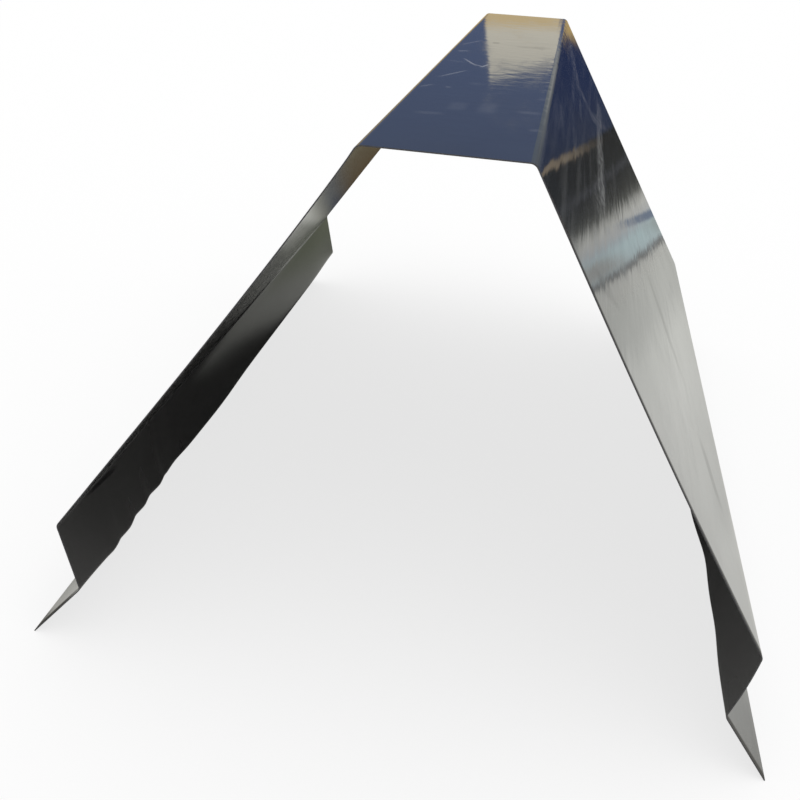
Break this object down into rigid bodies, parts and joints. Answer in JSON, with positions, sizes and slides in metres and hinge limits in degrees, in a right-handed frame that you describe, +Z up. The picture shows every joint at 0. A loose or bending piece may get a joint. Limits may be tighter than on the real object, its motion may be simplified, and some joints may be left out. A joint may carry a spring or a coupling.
{
  "type": "roof ridge cap",
  "caption": "Folded sheet-steel roof ridge cap: a narrow flat crest, two long steep wings, and a stepped flange along each foot. Covers the joint at the top of a roof.",
  "frame": {"origin": "on the floor under the middle of the crest, half way along the cap; the free edges of the two flanges stand on that floor", "axes": "+X across the cap, +Y along its length and the ridge, +Z up through the middle of the crest"},
  "size_m": [0.327, 0.5, 0.2417],
  "materials": {
    "coated_sheet": "glossy dark anthracite coil coating, lightly scratched, with bare cut edges"
  },
  "bodies": {
    "root": {"ridge_cap": "coated_sheet"}
  },
  "joints": []
}
